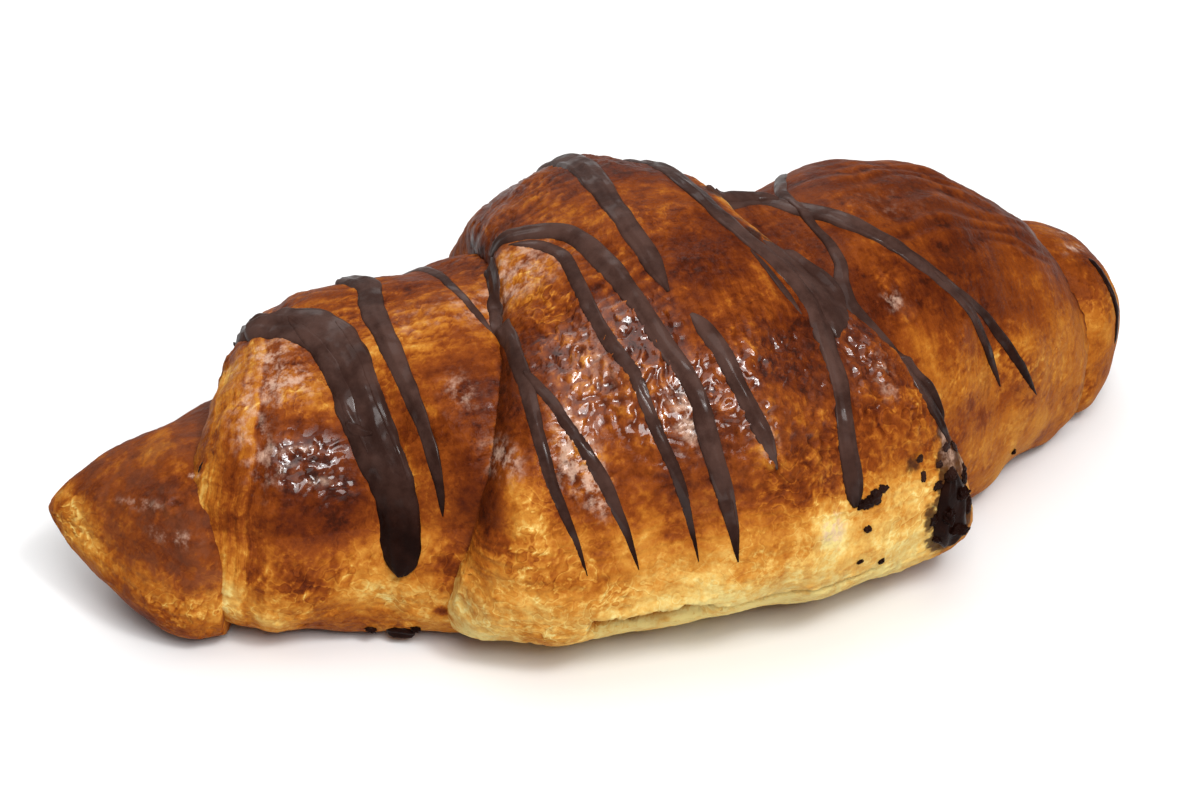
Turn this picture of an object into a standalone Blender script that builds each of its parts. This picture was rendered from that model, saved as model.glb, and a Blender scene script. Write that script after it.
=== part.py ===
"""A rolled, crescent-shaped pastry with dark chocolate drizzle, made as one solid.

The dough is a long triangle rolled up from its wide end, so it shows five stretches:
a horn at each end, a shoulder next to each horn, and the thick centre, whose last
turn lies over both shoulders with a raised lip. Lengths here are millimetres.
Angles go round the roll in degrees: 0 is the front, 90 the top, 180 the back.
"""
import math

import bmesh
import bpy
from mathutils import Vector
from mathutils.bvhtree import BVHTree

MM = 0.001

# The horns' tips: place, setback and height of the middle, and how blunt they are
LEFT_TIP = (-90.0, 20.5, 16.0, 1.45)
RIGHT_TIP = (90.0, 18.5, 12.0, 2.1)

# Where one turn of dough ends on the next: middle, then lean of the top, the front and the back
COLLAR_LEFT = (-65.3, 2.0, -10.0, 11.2)
LIP_LEFT = (-29.5, 6.0, -9.5, 8.5)
LIP_RIGHT = (24.0, -7.0, 16.0, -3.0)
COLLAR_RIGHT = (71.0, 2.0, 7.0, -7.0)
HIDDEN_LAP = 13.0

# Stations along the roll: place, front face and crest height
LEFT_SHOULDER = ((-76, -7.5, 43), (-64, -11, 43.5), (-50, -15, 43.5), (-36, -23.5, 47.5), (-20, -26.5, 48))
CENTRE = ((-40, -33, 52), (-20, -38, 54.5), (2, -43, 60), (24, -40.5, 51.5), (48, -31.5, 43.5))
RIGHT_SHOULDER = ((8, -31, 53.5), (24, -29.5, 50), (38, -26.5, 50.2), (54, -18, 45), (76, -5.5, 33.5))

# Front face and crest height where each horn comes out of its shoulder
LEFT_HORN = (-6.5, 30.5)
RIGHT_HORN = (-2.0, 29.0)

# Sections: height over breadth, how square the lower half is, and the height it lies at
HORN_SECTION = (0.84, 2.5, 1.0)
SHOULDER_SECTION = (0.80, 2.9, 0.5)
CENTRE_SECTION = (0.69, 2.3, 0.0)
SQUARE_UP = 2.15

# Height of the widest part over the crest's, and how far the round goes below the flat
BELLY = 0.42
SQUASH = 2.6

# Profiles of the edges: distance in from the edge and drop below the full surface
ROLLED_COLLAR = ((0, 9.8), (0.5, 7.8), (1.4, 6.0), (2.8, 4.2), (4.6, 2.7), (6.6, 1.6), (8.2, 1.3), (9.4, 0.6),
                 (11.0, 0.1))
ROUND_LIP = ((0, 8.0), (0.8, 4.6), (2.4, 2.2), (5.0, 0.8), (8.5, 0.1))
SHARP_LIP = ((0, 4.2), (0.5, 2.0), (1.6, 0.7), (4.0, 0.1))
SOFT_COLLAR = ((0, 6.5), (0.7, 4.0), (2.2, 2.0), (5.0, 0.6), (9.0, 0.1))
HIDDEN_END = ((0, 6.0), (3.0, 2.0))
UNDERCUT = 1.6
LIP_WALL = 7.0

# Fineness: points round a section, and plain rings between the edges of each stretch
SIDES = 44
HORN_RINGS = 10
SHOULDER_RINGS = 7
CENTRE_RINGS = 17
HORN_ROOT = -0.25

# Base band: the lowest layers stand back under a ragged ledge
LEDGE_ANGLE = -34.0
LEDGE_STEP = 1.3

# The line that the drizzle's angles are measured from: height, and setback at a tip
AXIS_Z = 20.0
AXIS_SETBACK = 18.0
AXIS_REACH = 90.0

# Drizzle strands: width at the start, middle and end, then points as place and angle
STRANDS = {
    "broad_left": (5.0, 7.6, 5.0, ((-50, 158), (-53, 140), (-52, 125), (-48.5, 112), (-48, 88),
                                   (-48, 53), (-46.5, 24), (-47, -14))),
    "beside_broad": (3.0, 3.6, 1.7, ((-42, 156), (-39, 138), (-38.5, 120), (-41.5, 96), (-41.5, 71),
                                     (-41, 48), (-41, 16))),
    "valley_left": (1.6, 2.0, 1.6, ((-32, 154), (-29, 136), (-28, 118), (-28, 98), (-26.5, 75))),
    "lip_left": (2.8, 2.7, 1.4, ((-21, 109), (-25, 80), (-27, 56), (-28.5, 30), (-25, 4))),
    "long_loop": (3.0, 3.5, 2.8, ((-21, 109), (-18, 103.5), (-12.5, 93.5), (-10.5, 82), (-9.5, 69),
                                  (-8, 53), (-6, 41), (-5.8, 32), (-5.3, 24), (-3.5, 4))),
    "inner_left": (1.7, 2.3, 1.4, ((-19.5, 101), (-14.5, 88.5), (-15, 73), (-15, 58.5), (-13.5, 47),
                                   (-12.7, 35.5), (-11.2, 25), (-8.7, 4))),
    "branch_left": (1.5, 2.1, 1.5, ((-27, 56), (-24, 38), (-21, 24), (-17.5, 4))),
    "crest_left": (3.6, 4.2, 2.4, ((2, 154), (-2, 141), (-1.5, 129), (-3.5, 102), (-4.5, 79), (-4.5, 62))),
    "short_middle": (2.2, 3.0, 1.5, ((-3, 57), (-1.5, 51), (-0.5, 45), (0.3, 37), (2, 29), (3, 22))),
    "broad_right": (3.6, 5.8, 3.4, ((5, 154), (9, 140), (10.5, 123), (10, 98), (12, 77), (16.5, 64),
                                    (18.2, 53), (17.4, 45.5), (17.2, 36.5), (16.3, 28.6), (15.7, 20.6),
                                    (16.5, 10.5))),
    "saddle": (3.4, 3.9, 2.0, ((12, 106), (17.5, 104), (24, 107), (28, 97), (35.5, 76), (43, 58),
                               (49, 39), (53, 10))),
    "saddle_branch": (1.8, 2.2, 1.5, ((43, 58), (52.5, 36), (61, -2))),
    "lip_right": (2.0, 2.6, 1.8, ((38, 152), (35, 135), (29.5, 114), (28.2, 95), (28.6, 68), (27.4, 58),
                                  (27.6, 50), (31.6, 35), (34.4, 22), (36.0, 14))),
    "smear": (3.0, 6.5, 3.0, ((32, 17), (34.5, 3), (37, -13))),
}
STRAND_RISE = 0.9
STRAND_RISE_SHARE = 0.09
STRAND_SINK = 1.7
STRAND_STEP = 4.5
TAIL = 0.35
STRAND_SECTION = ((-0.5, 0.0), (-0.3, 1.0), (0.3, 1.0), (0.5, 0.0), (0.32, -1.0), (-0.32, -1.0))
MEAN_RADIUS = 30.0
OUTSIDE = 80.0

CRUST_COLOUR = (0.48, 0.19, 0.055, 1.0)
CRUST_ROUGHNESS = 0.35


def smooth(x, stations, column):
    """Read one column of the stations at x by a cubic that stays level past the ends."""
    places = [s[0] for s in stations]
    values = [s[column] for s in stations]
    last = len(places) - 1
    x = min(max(x, places[0]), places[last])
    i = max(k for k in range(last) if places[k] <= x)

    def slope(k):
        low, high = max(k - 1, 0), min(k + 1, last)
        return (values[high] - values[low]) / (places[high] - places[low])

    span = places[i + 1] - places[i]
    t = (x - places[i]) / span
    return ((2 * t**3 - 3 * t**2 + 1) * values[i] + (t**3 - 2 * t**2 + t) * span * slope(i)
            + (3 * t**2 - 2 * t**3) * values[i + 1] + (t**3 - t**2) * span * slope(i + 1))


def edge_x(edge, a):
    """Place of a turn's edge at angle a."""
    middle, lean_top, lean_front, lean_back = edge
    c = math.cos(a)
    return middle + lean_top * math.sin(a) + (lean_front * c if c > 0 else -lean_back * c)


def lumps(x, a):
    """Uneven swelling of the dough, from a few slow waves."""
    return (0.42 * math.sin(0.19 * x + 2 * a + 0.6) + 0.30 * math.sin(0.31 * x - 3 * a + 2.1)
            + 0.22 * math.sin(0.47 * x + 4 * a + 4.0) + 0.16 * math.sin(0.11 * x - 5 * a + 1.2))


def ledge(x, a):
    """Drop of the pale base band below its ragged upper edge, front and back alike."""
    wobble = 4.0 * math.sin(0.16 * x + 1.0) + 2.5 * math.sin(0.43 * x)
    below_front = math.degrees(math.asin(math.sin(a))) < LEDGE_ANGLE + wobble
    return LEDGE_STEP if below_front else 0.0


def section_point(x, a, middle, half, rise, fall, low, floor):
    """One point of a rounded section, flat where it lies; middle is its (y, z)."""
    c, s = math.cos(a), math.sin(a)
    power = 2 / (SQUARE_UP if s > 0 else low)
    y = middle[0] - half * math.copysign(abs(c) ** power, c)
    z = middle[1] + (rise if s > 0 else -fall) * abs(s) ** power
    return Vector((x, y, max(z, floor)))


def round_angles():
    """Angles of the points round a section, from the bottom by way of the front."""
    return [-math.pi / 2 + 2 * math.pi * (k + 0.5) / SIDES for k in range(SIDES)]


def turn_ring(stations, shape, place, drop):
    """One ring of a turn; place(a) is its x, and drop is taken off all round."""
    ratio, low, floor = shape
    ring = []
    for a in round_angles():
        x = place(a)
        front, crest = smooth(x, stations, 1), smooth(x, stations, 2)
        half = crest / 2 / ratio
        rough = lumps(x, a) - ledge(x, a) if drop < LIP_WALL else 0.0
        shrink = 1 - (drop - rough) / half
        middle = (front + half, BELLY * crest)
        rise = (crest - middle[1]) * shrink
        fall = (middle[1] + SQUASH) * shrink
        ring.append(section_point(x, a, middle, half * shrink, rise, fall, low, floor))
    return ring


def turn(left, right, left_profile, right_profile, stations, shape, plain_rings):
    """Rings of one turn of dough, from its left edge to its right edge."""
    def at(share, from_left, from_right):
        def place(a):
            start, end = edge_x(left, a) + from_left, edge_x(right, a) - from_right
            return start + (end - start) * share
        return place

    def ring(place, drop):
        return turn_ring(stations, shape, place, drop)

    inner_left, inner_right = left_profile[-1][0], right_profile[-1][0]
    rings = [ring(at(0, UNDERCUT, 0), LIP_WALL + left_profile[0][1])]
    rings += [ring(at(0, distance, 0), drop) for distance, drop in left_profile]
    for k in range(plain_rings):
        share = (k + 1) / (plain_rings + 1)
        rings.append(ring(at(share, inner_left, inner_right), 0.0))
    rings += [ring(at(1, 0, distance), drop) for distance, drop in reversed(right_profile)]
    rings.append(ring(at(1, 0, UNDERCUT), LIP_WALL + right_profile[0][1]))
    return rings


def horn(tip, edge, root):
    """Rings of a horn, from near its tip to its root inside the shoulder."""
    tip_x, tip_y, tip_z, blunt = tip
    front, crest = root
    ratio, low, floor = HORN_SECTION
    half = crest / 2 / ratio
    belly = BELLY * crest
    rings = []
    for k in range(1, HORN_RINGS + 1):
        t = 1 - (1 - HORN_ROOT) * (k / HORN_RINGS) ** 1.5
        swell = (1 - max(t, 0) ** blunt) ** (1 / blunt)
        middle = (tip_y + (front + half - tip_y) * swell ** 1.3, tip_z + (belly - tip_z) * swell)
        ring = []
        for a in round_angles():
            x = edge_x(edge, a) + (tip_x - edge_x(edge, a)) * t
            grown = swell * (1 + lumps(x, a) / half)
            ring.append(section_point(x, a, middle, half * grown, (crest - belly) * grown,
                                      (belly + SQUASH) * grown, low, floor))
        rings.append(ring)
    return rings


def axis_y(x):
    """Setback of the line through the middle of the roll."""
    return AXIS_SETBACK * (x / AXIS_REACH) ** 2


def centre_of(ring):
    return sum(ring, Vector((0, 0, 0))) / len(ring)


def skin(name, rings, first_pole, last_pole):
    """A closed body through rings that run towards +X, shut by a fan at each end."""
    count = len(rings[0])
    points = [p for ring in rings for p in ring] + [first_pole, last_pole]
    first, last = len(points) - 2, len(points) - 1
    top = (len(rings) - 1) * count
    faces = []
    for k in range(count):
        after = (k + 1) % count
        faces.append((first, after, k))
        faces.append((last, top + k, top + after))
        for start in range(0, top, count):
            faces.append((start + k, start + after, start + count + after, start + count + k))
    mesh = bpy.data.meshes.new(name)
    mesh.from_pydata([p * MM for p in points], [], faces)
    body = bpy.data.objects.new(name, mesh)
    bpy.context.scene.collection.objects.link(body)
    return body


def turn_body(name, *args):
    rings = turn(*args)
    return skin(name, rings, centre_of(rings[0]), centre_of(rings[-1]))


def dough_bodies():
    """The centre first, then the shoulders and the horns that it is joined with."""
    lap_left = (LIP_LEFT[0] + HIDDEN_LAP, *LIP_LEFT[1:])
    lap_right = (LIP_RIGHT[0] - HIDDEN_LAP, *LIP_RIGHT[1:])
    centre = turn_body("croissant", LIP_LEFT, LIP_RIGHT, ROUND_LIP, SHARP_LIP,
                       CENTRE, CENTRE_SECTION, CENTRE_RINGS)
    left = turn_body("left_shoulder", COLLAR_LEFT, lap_left, ROLLED_COLLAR, HIDDEN_END,
                     LEFT_SHOULDER, SHOULDER_SECTION, SHOULDER_RINGS)
    right = turn_body("right_shoulder", lap_right, COLLAR_RIGHT, HIDDEN_END, SOFT_COLLAR,
                      RIGHT_SHOULDER, SHOULDER_SECTION, SHOULDER_RINGS)
    rings = horn(LEFT_TIP, COLLAR_LEFT, LEFT_HORN)
    left_horn = skin("left_horn", rings, Vector(LEFT_TIP[:3]), centre_of(rings[-1]))
    rings = horn(RIGHT_TIP, COLLAR_RIGHT, RIGHT_HORN)[::-1]
    right_horn = skin("right_horn", rings, centre_of(rings[0]), Vector(RIGHT_TIP[:3]))
    return centre, [left, right, left_horn, right_horn]


def route(points):
    """Places and angles at even steps along a strand, on a curve through its points."""
    length = 0.0
    for (x, a), (next_x, next_a) in zip(points, points[1:]):
        length += math.hypot(next_x - x, math.radians(next_a - a) * MEAN_RADIUS)
    places = [(k, x, a) for k, (x, a) in enumerate(points)]
    count = max(round(length / STRAND_STEP), 3)
    marks = [(len(points) - 1) * k / count for k in range(count + 1)]
    return [(smooth(m, places, 1), math.radians(smooth(m, places, 2))) for m in marks]


def lay_strand(name, dough, widths, points):
    """A strand of drizzle laid over the dough, sunk a little into it all along."""
    laid = []
    for x, a in route(points):
        outward = Vector((0, -math.cos(a), math.sin(a)))
        axis = Vector((x, axis_y(x), AXIS_Z))
        spot, facing = dough.ray_cast((axis + outward * OUTSIDE) * MM, -outward)[:2]
        laid.append((spot / MM, (facing + outward).normalized()))
    rings = []
    last = len(laid) - 1
    for k, (spot, normal) in enumerate(laid):
        along = (laid[min(k + 1, last)][0] - laid[max(k - 1, 0)][0]).normalized()
        side = along.cross(normal).normalized()
        share = k / last
        width = smooth(share, ((0, widths[0]), (0.5, widths[1]), (1, widths[2])), 1)
        if k in (0, last):
            width *= TAIL
        rise = STRAND_RISE + STRAND_RISE_SHARE * width
        rings.append([spot + side * (across * width) + normal * (up * (rise if up > 0 else STRAND_SINK))
                      for across, up in STRAND_SECTION])
    return skin(name, rings, centre_of(rings[0]), centre_of(rings[-1]))


def material(name, colour, roughness):
    finish = bpy.data.materials.new(name)
    finish.use_nodes = True
    shader = finish.node_tree.nodes["Principled BSDF"]
    shader.inputs["Base Color"].default_value = colour
    shader.inputs["Roughness"].default_value = roughness
    shader.inputs["Metallic"].default_value = 0.0
    return finish


def join(body, others):
    """One union of the body with all the others, which are then removed."""
    group = bpy.data.collections.new("joined")
    for other in others:
        group.objects.link(other)
    union = body.modifiers.new("union", "BOOLEAN")
    union.operation = "UNION"
    union.operand_type = "COLLECTION"
    union.collection = group
    union.solver = "EXACT"
    bpy.context.view_layer.objects.active = body
    bpy.ops.object.modifier_apply(modifier=union.name)
    for other in others:
        bpy.data.objects.remove(other)
    bpy.data.collections.remove(group)


def settle(body):
    """Make the faces triangles, and take out the folded pairs that lie along the seams."""
    mesh = bmesh.new()
    mesh.from_mesh(body.data)
    bmesh.ops.triangulate(mesh, faces=mesh.faces[:])
    corners = {}
    for face in mesh.faces:
        corners.setdefault(frozenset(face.verts), []).append(face)
    folded = [face for faces in corners.values() if len(faces) > 1 for face in faces]
    bmesh.ops.delete(mesh, geom=folded, context="FACES")
    mesh.to_mesh(body.data)
    mesh.free()


def main():
    for old in list(bpy.data.objects):
        bpy.data.objects.remove(old)
    body, others = dough_bodies()
    join(body, others)
    dough = BVHTree.FromObject(body, bpy.context.evaluated_depsgraph_get())
    strands = [lay_strand(name, dough, strand[:3], strand[3]) for name, strand in STRANDS.items()]
    join(body, strands)
    settle(body)
    body.data.materials.append(material("crust", CRUST_COLOUR, CRUST_ROUGHNESS))
    body.data.shade_smooth()


main()
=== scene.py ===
"""The looks of a rolled, crescent-shaped pastry with dark chocolate drizzle.

Lengths are millimetres until a mesh is made. Angles go round the roll: 0 is the front,
a quarter turn the top, half a turn the back. Five pieces of dough, the chocolate and the
crumbs stand for the one solid.
"""
import itertools
import math

import bpy
import numpy as np
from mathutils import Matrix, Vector
from mathutils.bvhtree import BVHTree


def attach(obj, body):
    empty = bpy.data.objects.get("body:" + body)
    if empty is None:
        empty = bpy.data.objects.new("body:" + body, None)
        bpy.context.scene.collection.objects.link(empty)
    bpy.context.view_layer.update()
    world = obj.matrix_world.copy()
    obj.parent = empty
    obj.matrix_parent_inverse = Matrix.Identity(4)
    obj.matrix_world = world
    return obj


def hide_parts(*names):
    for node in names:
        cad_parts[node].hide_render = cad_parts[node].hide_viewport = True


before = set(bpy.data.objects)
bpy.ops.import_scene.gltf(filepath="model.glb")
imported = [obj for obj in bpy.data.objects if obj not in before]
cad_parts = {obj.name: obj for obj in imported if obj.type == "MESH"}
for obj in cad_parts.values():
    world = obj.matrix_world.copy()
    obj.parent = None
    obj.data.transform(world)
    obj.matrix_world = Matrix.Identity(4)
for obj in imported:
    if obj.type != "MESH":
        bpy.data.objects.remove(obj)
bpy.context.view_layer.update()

MM = 0.001
NODE = "croissant"

# The horns' tips: place, setback and height of the middle, and how blunt they are
LEFT_TIP = (-90.0, 20.5, 16.0, 1.45)
RIGHT_TIP = (90.0, 18.5, 12.0, 2.1)

# Where one turn of dough ends on the next: middle, then lean of the top, the front and the back
COLLAR_LEFT = (-65.3, 2.0, -10.0, 11.2)
LIP_LEFT = (-29.5, 6.0, -9.5, 8.5)
LIP_RIGHT = (24.0, -7.0, 16.0, -3.0)
COLLAR_RIGHT = (71.0, 2.0, 7.0, -7.0)
HIDDEN_LAP = 13.0

# Stations along the roll: place, front face and crest height; for a horn, the last two at its root
LEFT_SHOULDER = ((-76, -7.5, 43), (-64, -11, 43.5), (-50, -15, 43.5), (-36, -23.5, 47.5), (-20, -26.5, 48))
CENTRE = ((-40, -33, 52), (-20, -38, 54.5), (2, -43, 60), (24, -40.5, 51.5), (48, -31.5, 43.5))
RIGHT_SHOULDER = ((8, -31, 53.5), (24, -29.5, 50), (38, -26.5, 50.2), (54, -18, 45), (76, -5.5, 33.5))
LEFT_HORN = (-6.5, 30.5)
RIGHT_HORN = (-2.0, 29.0)

# Sections: height over breadth, how square the lower half is, and the height it lies at
HORN_SECTION = (0.84, 2.5, 1.0)
SHOULDER_SECTION = (0.80, 2.9, 0.5)
CENTRE_SECTION = (0.69, 2.3, 0.0)
# In every section: how square the upper half is, the middle's share of the crest height,
# how far the foot would reach below the ground, and how softly it is cut off there
SQUARE_UP = 2.15
BELLY = 0.42
SQUASH = 2.6
FLOOR_BLEND = 1.2

# Profiles of the edges: distance in from the edge and drop below the full surface
ROLLED_COLLAR = ((0, 9.8), (0.5, 7.8), (1.4, 6.0), (2.8, 4.2), (4.6, 2.7), (6.6, 1.6), (8.2, 1.3),
                 (9.4, 0.6), (11.0, 0.1))
ROUND_LIP = ((0, 8.0), (0.8, 4.6), (2.4, 2.2), (5.0, 0.8), (8.5, 0.1))
SHARP_LIP = ((0, 4.2), (0.5, 2.0), (1.6, 0.7), (4.0, 0.1))
SOFT_COLLAR = ((0, 6.5), (0.7, 4.0), (2.2, 2.0), (5.0, 0.6), (9.0, 0.1))
HIDDEN_END = ((0, 6.0), (3.0, 2.0))
# The wall below an edge: how far it leans in, and how far it goes down
UNDERCUT = 1.6
LIP_WALL = 7.0
# How ragged an edge is, and how far the lip behind it wavers
RAGGED = 0.6
WAVER = 0.55
# How far a horn goes on inside its shoulder, as a share of what shows, and its distance from any edge
HORN_ROOT = -0.25
FAR_FROM_EDGE = 20.0

# Fineness of the dough: how far apart its points are, and how they crowd to the upper front
FINE = 0.5
FINE_EDGE = 0.34
ROW_STEP = FINE * 0.9
CROWDED = 0.3
WALL_ROWS = 12

# The axis that angles are taken about: its height, and its setback by the time it reaches a tip
AXIS_Z = 20.0
AXIS_SETBACK = 18.0
AXIS_REACH = 90.0
# Millimetres of surface to a radian, for patterns that follow the dough
LAY_RADIUS = 26.0

# Drizzle strands: rise, depth of the grooves, how long each end tapers, then (place, angle, width)
STRANDS = {
    "broad_left_back": (0.8, 0.4, (1.2, 6), (
        (-53, 158, 4.4), (-55, 144, 5.2), (-56, 132, 5.6), (-55.4, 121, 5.6), (-53, 113, 5.4))),
    "broad_left": (1.0, 0.5, (0.7, 4), (
        (-57.2, 124, 5.2), (-54.6, 119, 6.4), (-51, 110, 7.4), (-48.6, 98, 7.8), (-48, 86, 7.7),
        (-48, 53, 7), (-46.5, 24, 6.4), (-47, -11, 5.2))),
    "broad_ridge_left": (0.35, 0.3, (6, 9), (
        (-52, 112, 1.6), (-50.9, 95, 2.2), (-50.4, 78, 2.4), (-49.8, 60, 2.0), (-49, 42, 1.2))),
    "broad_ridge_right": (0.3, 0.3, (6, 9), (
        (-46.6, 100, 1.4), (-45.6, 82, 1.9), (-45.5, 66, 1.8), (-45, 48, 1.5), (-44.8, 30, 0.9))),
    "broad_fold": (0.35, 0.5, (2, 2.5), (
        (-51, 57, 1.2), (-49.6, 52, 2.2), (-47.4, 50, 1.8))),
    "beside_broad": (0.7, 0.4, (0.8, 8), (
        (-40.2, 136, 3.4), (-39, 126, 4.0), (-38.8, 116, 4.0), (-41, 98, 4.0), (-41.5, 71, 3),
        (-41, 48, 2.2), (-41, 16, 1.7))),
    "valley_left": (0.4, 0.2, (5, 5), (
        (-32, 154, 1.6), (-29, 136, 1.8), (-28, 118, 1.8), (-28, 98, 1.5), (-26.5, 75, 1.3))),
    "lip_left": (0.55, 0.4, (1, 10), (
        (-21, 109, 2.8), (-25, 80, 3), (-27, 56, 2.5), (-28.5, 30, 1.9), (-25, 4, 1.4))),
    "long_loop": (0.6, 0.5, (1, 8), (
        (-21, 109, 2.8), (-18, 103.5, 3.2), (-12.5, 93.5, 3.3), (-10.5, 82, 3.4), (-9.5, 69, 3.2),
        (-8, 53, 2.9), (-6, 41, 2.9), (-5.8, 32, 3.1), (-5.3, 24, 3.0), (-3.5, 4, 2.4))),
    "inner_left": (0.45, 0.4, (3, 10), (
        (-19.5, 101, 1.5), (-14.5, 88.5, 2.2), (-15, 73, 2.3), (-15, 58.5, 2.2), (-13.5, 47, 2.0),
        (-12.7, 35.5, 1.9), (-11.2, 25, 1.9), (-8.7, 4, 1.4))),
    "branch_left": (0.45, 0.4, (1, 9), (
        (-27, 56, 1.5), (-24, 38, 1.9), (-21, 24, 2.1), (-17.5, 4, 1.5))),
    "crest_left": (0.6, 0.5, (1.5, 4), (
        (2, 154, 3.6), (-2, 141, 4.4), (-1.5, 129, 5.2), (-3, 108, 4.6), (-4.5, 90, 3.4),
        (-4.5, 76, 3.4), (-4.5, 62, 2.6))),
    "short_middle": (0.5, 0.4, (2, 4), (
        (-3, 57, 2.2), (-1.5, 51, 2.8), (-0.5, 45, 3.0), (0.3, 37, 2.7), (2, 29, 2.7),
        (3, 22, 1.8))),
    "broad_right": (0.6, 0.6, (1.5, 2), (
        (5, 154, 3.2), (9, 140, 4.2), (10.5, 123, 4.6), (10, 98, 4.4), (12, 77, 4.2),
        (16.5, 64, 5.0), (18.2, 53, 4.8), (17.4, 45.5, 3.8), (17.2, 36.5, 3.2), (16.3, 28.6, 3.2),
        (15.7, 20.6, 3.4), (16.3, 8.8, 3.8))),
    "wide_patch": (0.4, 0.7, (3, 3), (
        (15.5, 76, 3), (19, 68, 5.5), (21, 61, 7.0), (21.5, 54, 6.0), (19.5, 44, 3.0))),
    "side_strand": (0.4, 0.3, (2, 3), (
        (11.5, 71, 1.2), (13, 62, 1.7), (15.0, 51, 1.4))),
    "saddle": (0.65, 0.45, (2, 8), (
        (14, 104, 2.6), (17.5, 104, 3.8), (24, 107, 3.9), (28, 97, 3.8), (35.5, 76, 3.4),
        (43, 58, 2.9), (49, 39, 2.3), (53, 10, 1.8))),
    "saddle_fill": (0.9, 0.3, (3, 3), (
        (15.5, 103, 2.2), (18.5, 106, 3.4), (23, 109, 3.2), (27, 104, 2.4))),
    "saddle_branch": (0.45, 0.3, (2, 8), (
        (43, 58, 1.6), (52.5, 36, 2.0), (61, -2, 1.5))),
    "lip_right": (0.5, 0.4, (2, 6), (
        (38, 152, 2), (35, 135, 2.2), (29.5, 114, 2.2), (28.2, 95, 1.6), (28.2, 70, 2.2),
        (26.8, 62, 2.8), (26.4, 52, 3.4), (30.0, 36, 4.4), (33.2, 23, 4.0), (35.2, 13, 3.0))),
    "tip_streak": (0.5, 0.3, (2, 2), (
        (83.2, 44, 1.3), (84.4, 20, 1.8), (84.8, -2, 1.9), (84.2, -24, 1.5))),
    "corner": (0.75, 0.6, (3, 2), (
        (34.4, 10, 3.2), (34.2, 5, 5.2), (34.8, 0, 6.2), (34.4, -5, 6.6), (35.2, -10, 5.4),
        (34.6, -14, 3.4))),
    "low_bit": (0.9, 0.5, (1, 1), (
        (-48, -46, 2.0), (-45.5, -45, 3.2), (-43, -46, 2.4))),
}

# Crumbs and lumps of chocolate: place, angle, length, breadth, height
CRUMBS = (
    (31.6, 6.5, 1.8, 1.4, 0.35), (37.4, 5, 1.8, 2.6, 0.45), (33.6, 8, 2.2, 1.6, 0.6),
    (31.6, -3, 1.6, 2.2, 0.4), (36.2, 2, 2.4, 1.8, 0.9), (33.6, -2, 2.0, 2.6, 0.9),
    (35.8, -7, 2.6, 2.0, 0.9), (38.0, -3, 1.6, 2.4, 0.5), (32.4, -9, 1.4, 1.2, 0.35),
    (37.8, -10, 1.8, 1.4, 0.45), (33.8, 14, 1.8, 1.4, 0.25), (36.0, 12.5, 2.4, 1.6, 0.3),
    (32.0, 11, 1.2, 1.4, 0.2), (17.8, 9.6, 2.6, 2.0, 0.5), (19.4, 10.4, 2.6, 2.2, 0.45),
    (20.9, 11.4, 1.8, 1.5, 0.35), (18.2, 3.5, 1.3, 1.1, 0.5), (17.2, -4.5, 1.0, 0.8, 0.4),
    (21.6, -7.5, 1.4, 1.0, 0.5), (57, -24, 1.0, 0.8, 0.5), (28.4, 14, 1.2, 1.8, 0.3),
    (28.9, 10, 1.0, 1.6, 0.3), (-44, -39, 1.4, 1.1, 0.6), (-50.0, -44, 1.8, 1.2, 0.6),
    (-71.0, 48, 1.5, 0.5, 0.2),
)

# Fineness of the strands: points along and across
CHOCOLATE_STEP = 0.5
CHOCOLATE_ACROSS = 15
# How far out the rays start that lay the chocolate on the dough
RAY_START = 80.0
PRESSED_FROM = 4.5
# How deep a strand's rim is sunk, and how much deeper the underside of its middle
RIM_SUNK = 0.12
MIDDLE_SUNK = 0.75
# Radius in metres of each sphere before it is shaped
BALL = 0.03

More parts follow.
